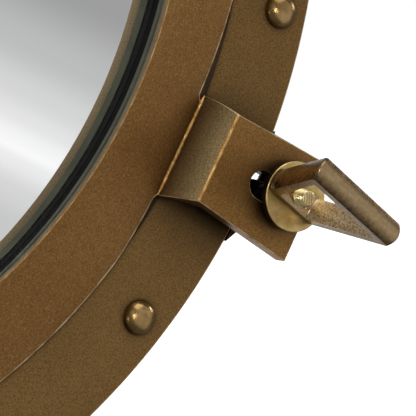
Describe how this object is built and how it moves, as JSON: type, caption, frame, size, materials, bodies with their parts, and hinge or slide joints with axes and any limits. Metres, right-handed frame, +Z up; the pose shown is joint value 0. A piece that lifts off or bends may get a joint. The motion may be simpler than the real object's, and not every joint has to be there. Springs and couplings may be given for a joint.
{
  "type": "opening porthole mirror",
  "caption": "Round riveted porthole frame with a top-hinged mirror door held shut by slotted lugs, swing bolts and bail wing nuts.",
  "frame": {"origin": "centre of the sleeve's rear rim, in the plane of the wall it stands against", "axes": "+Z up, porthole faces -Y, +Y into the wall, +X to the viewer's right"},
  "size_m": [0.56, 0.09, 0.56],
  "materials": {
    "bronze_paint": "satin metallic antique bronze",
    "flange_paint": "satin metallic olive bronze",
    "burnished_bronze": "burnished",
    "bright_brass": "as cut",
    "trim_grey": "dull grey",
    "mirror_glass": "polished",
    "black_rubber": "matt",
    "hardboard": "raw",
    "steel": "zinc plated"
  },
  "bodies": {
    "base": {"base_flange": "flange_paint", "sleeve": "flange_paint", "collar": "flange_paint", "seat_gasket": "black_rubber", "rivet_01": "burnished_bronze", "rivet_02": "burnished_bronze", "rivet_03": "burnished_bronze", "rivet_04": "burnished_bronze", "rivet_05": "burnished_bronze", "rivet_06": "burnished_bronze", "rivet_07": "burnished_bronze", "rivet_08": "burnished_bronze", "rivet_09": "burnished_bronze", "rivet_10": "burnished_bronze", "rivet_11": "burnished_bronze", "rivet_12": "burnished_bronze", "dog_bracket_right": "flange_paint", "dog_bracket_left": "flange_paint", "pivot_pin_right": "bright_brass", "pivot_pin_left": "bright_brass", "hinge_base_leaf": "bronze_paint", "hinge_pin": "bright_brass", "hinge_base_screw_1": "burnished_bronze", "hinge_base_screw_2": "burnished_bronze"},
    "door": {"door_ring": "bronze_paint", "pane_cell": "bronze_paint", "dog_lug_right": "bronze_paint", "dog_lug_left": "bronze_paint", "trim_ring": "trim_grey", "glazing_gasket": "black_rubber", "mirror_pane": "mirror_glass", "backing_board": "hardboard", "retaining_ring": "bronze_paint", "retaining_screw_1": "steel", "retaining_screw_2": "steel", "retaining_screw_3": "steel", "retaining_screw_4": "steel", "retaining_screw_5": "steel", "retaining_screw_6": "steel", "retaining_screw_7": "steel", "retaining_screw_8": "steel", "hinge_door_leaf": "bronze_paint", "hinge_door_screw_1": "burnished_bronze", "hinge_door_screw_2": "burnished_bronze"},
    "bolt_right": {"swing_bolt_right": "bright_brass"},
    "washer_right": {"nut_washer_right": "bright_brass"},
    "nut_right": {"wing_nut_right": "burnished_bronze"},
    "bolt_left": {"swing_bolt_left": "bright_brass"},
    "washer_left": {"nut_washer_left": "bright_brass"},
    "nut_left": {"wing_nut_left": "burnished_bronze"}
  },
  "joints": [
    {"name": "door_swing", "type": "hinge", "parent": "base", "child": "door", "pos_m": [0, -0.0315, 0.258], "axis": [-1, 0, 0], "range_deg": [0, 100]},
    {"name": "bolt_swing_right", "type": "hinge", "parent": "base", "child": "bolt_right", "pos_m": [0.24803, -0.0195, -0.1432], "axis": [0.5, 0, 0.866], "range_deg": [0, 80]},
    {"name": "nut_travel_right", "type": "slide", "parent": "bolt_right", "child": "washer_right", "axis": [0, -1, 0], "range_m": [-0.0035, 0.004]},
    {"name": "nut_spin_right", "type": "hinge", "parent": "washer_right", "child": "nut_right", "pos_m": [0.24803, -0.047, -0.1432], "axis": [0, -1, 0], "range_deg": [-1000, 1145]},
    {"name": "bolt_swing_left", "type": "hinge", "parent": "base", "child": "bolt_left", "pos_m": [-0.24803, -0.0195, -0.1432], "axis": [0.5, 0, -0.866], "range_deg": [0, 80]},
    {"name": "nut_travel_left", "type": "slide", "parent": "bolt_left", "child": "washer_left", "axis": [0, -1, 0], "range_m": [-0.0035, 0.004]},
    {"name": "nut_spin_left", "type": "hinge", "parent": "washer_left", "child": "nut_left", "pos_m": [-0.24803, -0.047, -0.1432], "axis": [0, -1, 0], "range_deg": [-1000, 1145]}
  ],
  "couplings": [
    {"joint": "nut_travel_right", "follows": "nut_spin_right", "m_per_rad": 0.00019894},
    {"joint": "nut_travel_left", "follows": "nut_spin_left", "m_per_rad": 0.00019894}
  ]
}
